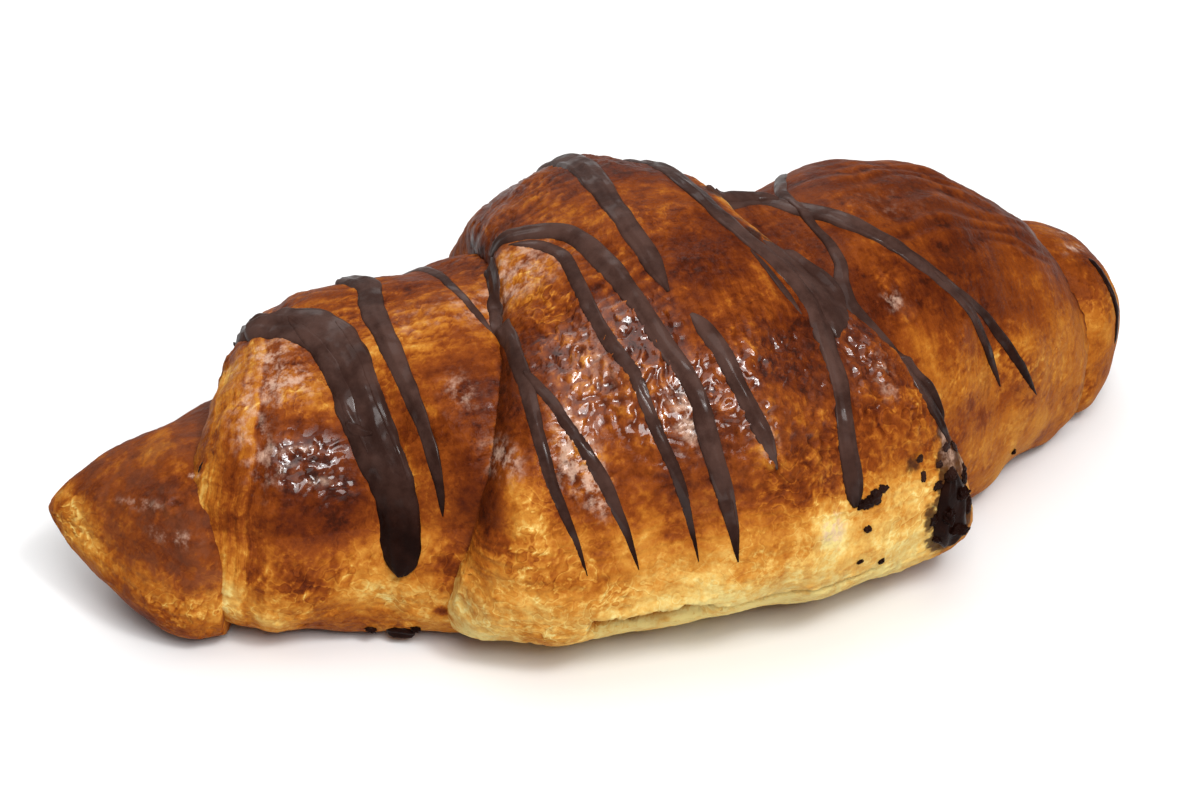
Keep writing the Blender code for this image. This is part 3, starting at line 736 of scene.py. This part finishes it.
def dough_pieces():
    """The centre, the two shoulders and the two horns."""
    lap_left = (LIP_LEFT[0] + HIDDEN_LAP, *LIP_LEFT[1:])
    lap_right = (LIP_RIGHT[0] - HIDDEN_LAP, *LIP_RIGHT[1:])

    def count(length):
        return int(length / FINE)

    grids = {
        "centre": turn_grid(LIP_LEFT, LIP_RIGHT, (ROUND_LIP, SHARP_LIP), CENTRE,
                            CENTRE_SECTION, count(235)),
        "left_shoulder": turn_grid(COLLAR_LEFT, lap_left, (ROLLED_COLLAR, HIDDEN_END), LEFT_SHOULDER,
                                   SHOULDER_SECTION, count(165)),
        "right_shoulder": turn_grid(lap_right, COLLAR_RIGHT, (HIDDEN_END, SOFT_COLLAR), RIGHT_SHOULDER,
                                    SHOULDER_SECTION, count(170)),
    }
    left_horn = horn_grid(LEFT_TIP, COLLAR_LEFT, LEFT_HORN, count(40), count(115))
    right_horn = horn_grid(RIGHT_TIP, COLLAR_RIGHT, RIGHT_HORN, count(34), count(118))
    right_horn = tuple(part[::-1] for part in right_horn)
    return [
        *(dough_piece(name, grid) for name, grid in grids.items()),
        dough_piece("left_horn", left_horn, first=LEFT_TIP[:3]),
        dough_piece("right_horn", right_horn, last=RIGHT_TIP[:3]),
    ]


def curve_through(points, step):
    """Values at even steps along a curve through points of (place, angle, width)."""
    keyed = [(k, *point) for k, point in enumerate(points)]
    dense = np.linspace(0, len(points) - 1, 40 * len(points))
    x, a, width = (smooth(dense, keyed, column) for column in (1, 2, 3))
    run = np.hypot(np.diff(x), np.radians(np.diff(a)) * AXIS_Z * 1.4)
    length = np.concatenate(([0], np.cumsum(run)))
    marks = np.linspace(0, length[-1], max(int(length[-1] / step), 8))
    return (np.interp(marks, length, x), np.radians(np.interp(marks, length, a)),
            np.interp(marks, length, width), marks)


def blurred(grid, times):
    """A grid of points smoothed along both of its axes, with its border kept."""
    for _ in range(times):
        padded = np.pad(grid, ((1, 1), (1, 1), (0, 0)), mode="edge")
        grid = (padded[1:-1, 1:-1] * 2 + padded[:-2, 1:-1] + padded[2:, 1:-1]
                + padded[1:-1, :-2] + padded[1:-1, 2:]) / 6
    return grid


def cast(grounds, origin, direction):
    """The first spot that a ray meets on any of the grounds, and the way it faces."""
    best = None
    for ground in grounds:
        spot, facing, _, away = ground.ray_cast(Vector(origin * MM), Vector(direction))
        if spot is not None and (best is None or away < best[2]):
            best = (np.array(spot) / MM, np.array(facing), away)
    return best[:2] if best else (None, None)


def ribbon(name, ground, points, rise, grooves, tail, seed):
    """A strand of chocolate over what lies under it: a sphere whose rings go along the strand."""
    x, a, width, marks = curve_through(points, CHOCOLATE_STEP)
    axes = stacked(x, AXIS_SETBACK * (x / AXIS_REACH) ** 2, AXIS_Z)
    outward = stacked(0, -np.cos(a), np.sin(a))
    laid = [cast(ground, axis + out * RAY_START, -out) for axis, out in zip(axes, outward)]
    spots = np.array([spot for spot, _ in laid])
    facing = np.array([normal for _, normal in laid]) * 0.5 + outward
    kernel = np.hanning(9)[1:-1]
    for k in range(3):
        padded = np.pad(facing[:, k], 3, mode="edge")
        facing[:, k] = np.convolve(padded, kernel / kernel.sum(), mode="valid")
    facing /= np.linalg.norm(facing, axis=1, keepdims=True)
    along = np.gradient(spots, axis=0)
    along /= np.linalg.norm(along, axis=1, keepdims=True)
    side = np.cross(along, facing)
    side /= np.linalg.norm(side, axis=1, keepdims=True)
    reach = np.minimum(marks / tail[0], 1) ** 0.5 * np.minimum((marks[-1] - marks) / tail[1], 1) ** 0.62
    half = width / 2 * np.maximum(reach, 0.03)
    half = half * (1 + 0.14 * fine_noise(stacked(marks / 3.4, seed, 0))
                   + 0.04 * mid_noise(stacked(marks, seed, 9)))
    shift = 0.3 * mid_noise(stacked(marks / 4.5, seed, 5))
    across = np.cos(np.linspace(0, np.pi, CHOCOLATE_ACROSS))
    base = np.empty((len(x), CHOCOLATE_ACROSS, 3))
    for i in range(len(x)):
        for j, u in enumerate(across):
            aim = spots[i] + side[i] * (u * half[i] + shift[i] * min(half[i], 1))
            spot, _ = cast(ground, aim + facing[i] * PRESSED_FROM, -facing[i])
            near = spot is not None and np.linalg.norm(spot - aim) < 0.8 + 0.55 * half[i]
            base[i, j] = spot if near else aim
    top = blurred(base, 4)
    sunk = np.maximum(((base - top) * facing[:, None, :]).sum(-1) - 0.1, 0)
    top = blurred(top + facing[:, None, :] * sunk[..., None], 1)
    low = top.copy()
    lie = stacked(marks[:, None] / 14, across[None, :] * width[:, None] / 2 / 1.15, seed)
    ridges = mid_noise(lie)
    profile = np.sqrt(np.maximum(1 - across**2, 0))[None, :] ** 0.75
    depth = rise * np.clip(half / 1.2, 0.25, 1)[:, None]
    pitted = fine_noise(stacked(lie[..., 0] * 6, lie[..., 1] * 1.3, 3))
    lift = depth * profile * (1 + grooves * 1.5 * ridges + 0.16 * pitted)
    top = top + facing[:, None, :] * (lift - RIM_SUNK * (1 - profile))[..., None]
    low = low - facing[:, None, :] * (RIM_SUNK + MIDDLE_SUNK * profile)[..., None]
    rings = np.concatenate([top, low[:, -2:0:-1]], axis=1)
    return ball_over(name, rings, rings[0].mean(0), rings[-1].mean(0), {})


def crumb(name, grounds, place, angle, length, breadth, height, seed):
    """A lump with a rough surface, pressed onto what lies under it."""
    a = math.radians(angle)
    axis = np.array([place, AXIS_SETBACK * (place / AXIS_REACH) ** 2, AXIS_Z])
    out = np.array([0, -math.cos(a), math.sin(a)])
    spot, facing = cast(grounds, axis + out * RAY_START, -out)
    facing = facing / np.linalg.norm(facing)
    across = np.cross(facing, (1.0, 0.0, 0.0))
    across /= np.linalg.norm(across)
    along = np.cross(across, facing)
    bpy.ops.mesh.primitive_ico_sphere_add(subdivisions=4, radius=BALL)
    piece = bpy.context.object
    ball = corners_of(piece) / BALL
    knobbly = (1 + 0.45 * fine_noise(ball * 1.3 + seed) + 0.35 * mid_noise(ball * 3 + seed)
               + 0.25 * mid_noise(ball * 7 + seed))
    ball = ball * knobbly[:, None] * (length / 2, breadth / 2, height)
    return reshaped(piece, name, spot + ball[:, :1] * along + ball[:, 1:2] * across + ball[:, 2:] * facing)


def ground_of(piece):
    """What rays cast onto a piece meet."""
    faces = [tuple(face.vertices) for face in piece.data.polygons]
    return BVHTree.FromPolygons(corners_of(piece).tolist(), faces)


def joined(name, pieces):
    """Several objects made one."""
    bpy.ops.object.select_all(action="DESELECT")
    for piece in pieces:
        piece.select_set(True)
    bpy.context.view_layer.objects.active = pieces[0]
    bpy.ops.object.join()
    pieces[0].name = name
    return pieces[0]


def drizzle(pieces):
    """All the strands, each over the dough and the strands before it."""
    made = []
    grounds = [ground_of(piece) for piece in pieces]
    for k, (name, (rise, grooves, tail, points)) in enumerate(STRANDS.items()):
        made.append(ribbon(name, grounds, points, rise, grooves, tail, 3.7 * k))
        grounds.append(ground_of(made[-1]))
    for k, lump in enumerate(CRUMBS):
        made.append(crumb(f"crumb_{k}", grounds, *lump, 5.3 * k))
    return joined("drizzle", made)


class Shade:
    """A shader socket on which sums, products and the like add Math nodes."""

    def __init__(self, tree, socket):
        self.tree = tree
        self.socket = socket

    def make(self, kind, settings=None, inputs=None, output=0):
        """Any node: its settings are set first, then the values or links of its sockets."""
        node = self.tree.nodes.new(kind)
        for key, value in (settings or {}).items():
            if key == "stops":
                ramp = node.color_ramp
                while len(ramp.elements) < len(value):
                    ramp.elements.new(0.5)
                for element, (place, colour) in zip(ramp.elements, value):
                    element.position, element.color = place, colour
            else:
                setattr(node, key, value)
        for key, value in (inputs or {}).items():
            socket = node.inputs[key]
            if isinstance(value, Shade):
                self.tree.links.new(value.socket, socket)
            else:
                socket.default_value = value
        return Shade(self.tree, node.outputs[output])

    def maths(self, operation, *values):
        return self.make("ShaderNodeMath", {"operation": operation}, dict(enumerate(values)))

    def fract(self):
        return self.maths("FRACT", self)

    def __add__(self, other):
        return self.maths("ADD", self, other)

    def __sub__(self, other):
        return self.maths("SUBTRACT", self, other)

    def __mul__(self, other):
        return self.maths("MULTIPLY", self, other)

    def __radd__(self, other):
        return self.maths("ADD", other, self)

    def __rsub__(self, other):
        return self.maths("SUBTRACT", other, self)

    def clamp(self):
        return self.make("ShaderNodeClamp", None, {"Value": self})

    def between(self, low, high):
        """0 below low and 1 above high."""
        return self.make("ShaderNodeMapRange", {"interpolation_type": "SMOOTHSTEP"},
                         {"Value": self, "From Min": low, "From Max": high})


def start_finish(name, roughness, specular, coat_roughness):
    """A new material with its shader, and a Shade on its Object coordinates."""
    finish = bpy.data.materials.new(name)
    finish.use_nodes = True
    tree = finish.node_tree
    shader = tree.nodes["Principled BSDF"]
    shader.inputs["Roughness"].default_value = roughness
    shader.inputs["Specular IOR Level"].default_value = specular
    shader.inputs["Coat Roughness"].default_value = coat_roughness
    place = Shade(tree, tree.nodes.new("ShaderNodeTexCoord").outputs["Object"])
    return finish, shader, place


def feed(shader, name, shade):
    """Link a shade to one of the shader's own sockets."""
    shade.tree.links.new(shade.socket, shader.inputs[name])


def noise(place, scale, detail=3.0, rough=0.55, stretch=(1, 1, 1)):
    """Noise about 1 / scale metres across, from 0 to 1."""
    place = place.make("ShaderNodeMapping", None, {"Vector": place, "Scale": stretch})
    return place.make("ShaderNodeTexNoise", None,
                      {"Vector": place, "Scale": scale, "Detail": detail, "Roughness": rough})


def attribute(place, name, output=2):
    """A value that the dough's points carry, or with output 1 a vector."""
    return place.make("ShaderNodeAttribute", {"attribute_name": name}, None, output)


def blend(amount, first, second):
    """From the first colour to the second, by an amount from 0 to 1."""
    return amount.make("ShaderNodeMix", {"data_type": "RGBA", "clamp_factor": True},
                       {0: amount, 6: first, 7: second}, 2)


def crust_finish():
    """Baked dough: pale to burnt by its marks, dull or glazed, with painted pink-white highlights and thin
    chocolate.
    """
    finish, shader, place = start_finish("crust", 0.42, 0.05, 0.08)
    bake, gloss, dull, flaky, blister, grain = (
        attribute(place, name) for name in ("bake", "gloss", "dull", "flaky", "blister", "grain"))
    smear, drawn, lined, edge, milky, plain = (
        attribute(place, name) for name in ("smear", "drawn", "lined", "edge", "milky", "plain"))
    lay = attribute(place, "lay", 1)
    around = noise(lay, 1.0, 3.0, 0.6, (0.75, 0.12, 1))
    along = noise(lay, 1.0, 3.0, 0.6, (0.12, 0.75, 1))
    streak = 0.5 + (around * (1 - grain) + along * grain - 0.5) * drawn * 1.3
    mottle = noise(place, 230, 4.0, 0.65)
    fleck = noise(place, 620, 3.0, 0.6)
    grains = noise(place, 1700, 2.0, 0.6)
    beads = place.make("ShaderNodeTexVoronoi", {"feature": "SMOOTH_F1"},
                       {"Vector": place, "Scale": 640.0, "Smoothness": 0.3, "Randomness": 1.0})
    bead = 1 - beads
    pale = noise(place, 430, 5.0, 0.68).between(0.54, 0.66)
    scorch = noise(place, 300, 5.0, 0.66).between(0.53, 0.68)
    curl = noise(place, 95, 3.0, 0.55) * 11.0 + noise(place, 420, 2.0, 0.5) * 1.4
    sheet = curl.fract()
    rim = sheet.between(0.0, 0.06) * (1 - sheet.between(0.10, 0.26))
    # Painted shade: darker at the foot of each flake's step, where the ledge above would shade the crust
    shade = sheet.between(0.80, 1.0)
    around_edge = place.make("ShaderNodeCombineXYZ", None, {"X": edge, "Y": mottle * 1.6})
    line = noise(around_edge, 1.1, 3.0, 0.6) - 0.5
    blotch = noise(place, 360, 4.0, 0.6)
    depth = (bake + (mottle - 0.5) * (0.50 - lined * 0.30 - plain * 0.24)
             + (fleck - 0.5) * (0.34 - plain * 0.16) + (grains - 0.5) * 0.16 + (blotch - 0.5) * dull * 0.8
             + (streak - 0.5) * 0.30 - blister * (bead - 0.55) * 0.24 + line * lined * 0.8
             - pale * (0.06 + flaky * 0.10) + scorch * bake.between(0.2, 0.6) * 0.14
             - rim * flaky * (1 - lined) * (1 - plain) * 0.12 + shade * flaky * (1 - lined) * 0.06)
    colour = place.make("ShaderNodeValToRGB", {"stops": CRUST_STOPS}, {"Fac": depth.clamp()})
    colour = blend(dull * (0.30 + blotch.between(0.42, 0.58) * 0.60), colour, DULL_BROWN)
    # Painted highlights: pink-white spots of colour where the glaze would catch the light
    spots = milky * (1 - dull * 0.2) * (noise(place, 560, 4.0, 0.65) * 3.6 - 1.45)
    ragged = noise(place, 300, 3.0, 0.5)
    film = (smear * (ragged * 2.4 - 0.5 + (mottle - 0.5))).between(0.30, 0.55)
    colour = blend(film * 0.88, colour, FILM_BROWN)
    colour = blend(spots.between(0.05, 0.90) * 0.7, colour, PAINTED_HIGHLIGHT_PINK)
    feed(shader, "Base Color", colour)
    shine = (gloss + (mottle - 0.5) * 1.3 + (fleck - 0.5) * 0.5).clamp()
    feed(shader, "Roughness", 0.64 - shine * 0.34)
    feed(shader, "Coat Weight", ((shine - 0.28) * 1.4).clamp() * blister.between(0.2, 0.7))
    height = (mottle * 0.5 + fleck * (0.30 + blister * 0.25) + grains * 0.10 + bead * blister * 0.75
              + streak * 0.35 - sheet * flaky * (1 - lined) * 0.35 + line * lined * 0.6)
    bump = place.make("ShaderNodeBump", None, {"Strength": 1.0, "Distance": 0.0008, "Height": height})
    feed(shader, "Normal", bump)
    return finish


def chocolate_finish():
    """Set dark chocolate: near black with painted shade low down, and paler with painted light and sheen
    higher up.
    """
    finish, shader, place = start_finish("chocolate", 0.36, 0.03, 0.10)
    tone = noise(place, 160, 4.0, 0.6)
    streak = noise(place, 900, 3.0, 0.5)
    height = place.make("ShaderNodeSeparateXYZ", None, {"Vector": place}, 2)
    # Painted light and shade: the chocolate's colour grows paler the higher it stands and darker low down
    lit = (height + (tone - 0.5) * 0.01).between(0.022, 0.046)
    patchy = tone.between(0.35, 0.65)
    low = blend(patchy, *SHADED_CHOCOLATE)
    high = blend(patchy, *LIT_CHOCOLATE)
    feed(shader, "Base Color", blend(lit, low, high))
    feed(shader, "Roughness", 0.24 + streak * 0.14 + lit * 0.14)
    glossy = height.between(0.026, 0.033) * 0.45 - lit * 0.22
    feed(shader, "Coat Weight", noise(place, 210, 2.0, 0.5).between(0.48, 0.60) * glossy)
    bump = place.make("ShaderNodeBump", None, {"Strength": 0.5, "Distance": 0.0004,
                                               "Height": streak * 0.6 + tone})
    feed(shader, "Normal", bump)
    return finish


def camera():
    """The camera, at the photograph's viewing angle."""
    turn, rise = math.radians(CAMERA_TURN), math.radians(CAMERA_RISE)
    back = Vector((-math.sin(turn) * math.cos(rise), -math.cos(turn) * math.cos(rise), math.sin(rise)))
    right = Vector((math.cos(turn), -math.sin(turn), 0))
    up = back.cross(right)
    aim = Vector((0, AIM_SETBACK, AIM_HEIGHT)) - right * AIM_LEFT - up * AIM_DOWN
    lens = bpy.data.cameras.new("camera")
    lens.sensor_width = SENSOR
    lens.lens = SENSOR * CAMERA_DISTANCE / FRAME_WIDTH
    viewer = bpy.data.objects.new("camera", lens)
    viewer.location = (aim + back * CAMERA_DISTANCE) * MM
    viewer.rotation_euler = back.to_track_quat("Z", "Y").to_euler()
    bpy.context.scene.collection.objects.link(viewer)
    bpy.context.scene.camera = viewer


def softbox(name, place, size, watts):
    """An area light that aims at the pastry."""
    light = bpy.data.lights.new(name, "AREA")
    light.shape = "RECTANGLE"
    light.size, light.size_y = size
    light.energy = watts
    lamp = bpy.data.objects.new(name, light)
    lamp.location = place
    lamp.rotation_euler = Vector(place).to_track_quat("Z", "Y").to_euler()
    bpy.context.scene.collection.objects.link(lamp)


def stage():
    """The floor, the sky and the lights."""
    bpy.ops.mesh.primitive_plane_add(size=6)
    plane = bpy.context.object
    plane.name = "floor"
    finish = bpy.data.materials.new("floor")
    finish.use_nodes = True
    matt = finish.node_tree.nodes["Principled BSDF"]
    matt.inputs["Base Color"].default_value = (FLOOR_GREY, FLOOR_GREY, FLOOR_GREY, 1)
    matt.inputs["Roughness"].default_value = 0.8
    plane.data.materials.append(finish)
    world = bpy.data.worlds.new("studio")
    bpy.context.scene.world = world
    world.use_nodes = True
    sky = world.node_tree.nodes["Background"]
    sky.inputs["Color"].default_value = (1, 1, 1, 1)
    sky.inputs["Strength"].default_value = SKY
    for name, (place, size, watts) in SOFTBOXES.items():
        softbox(name, place, size, watts)
    bpy.context.scene.view_settings.view_transform = "Standard"


camera()
stage()
bpy.ops.object.select_all(action="DESELECT")
pieces = dough_pieces()
sauce = drizzle(pieces)
finishes = {"crust": crust_finish(), "chocolate": chocolate_finish()}
for piece in [*pieces, sauce]:
    slot = "chocolate" if piece is sauce else "crust"
    piece.data.materials.append(finishes[slot])
    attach(piece, "root")
    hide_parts(NODE)
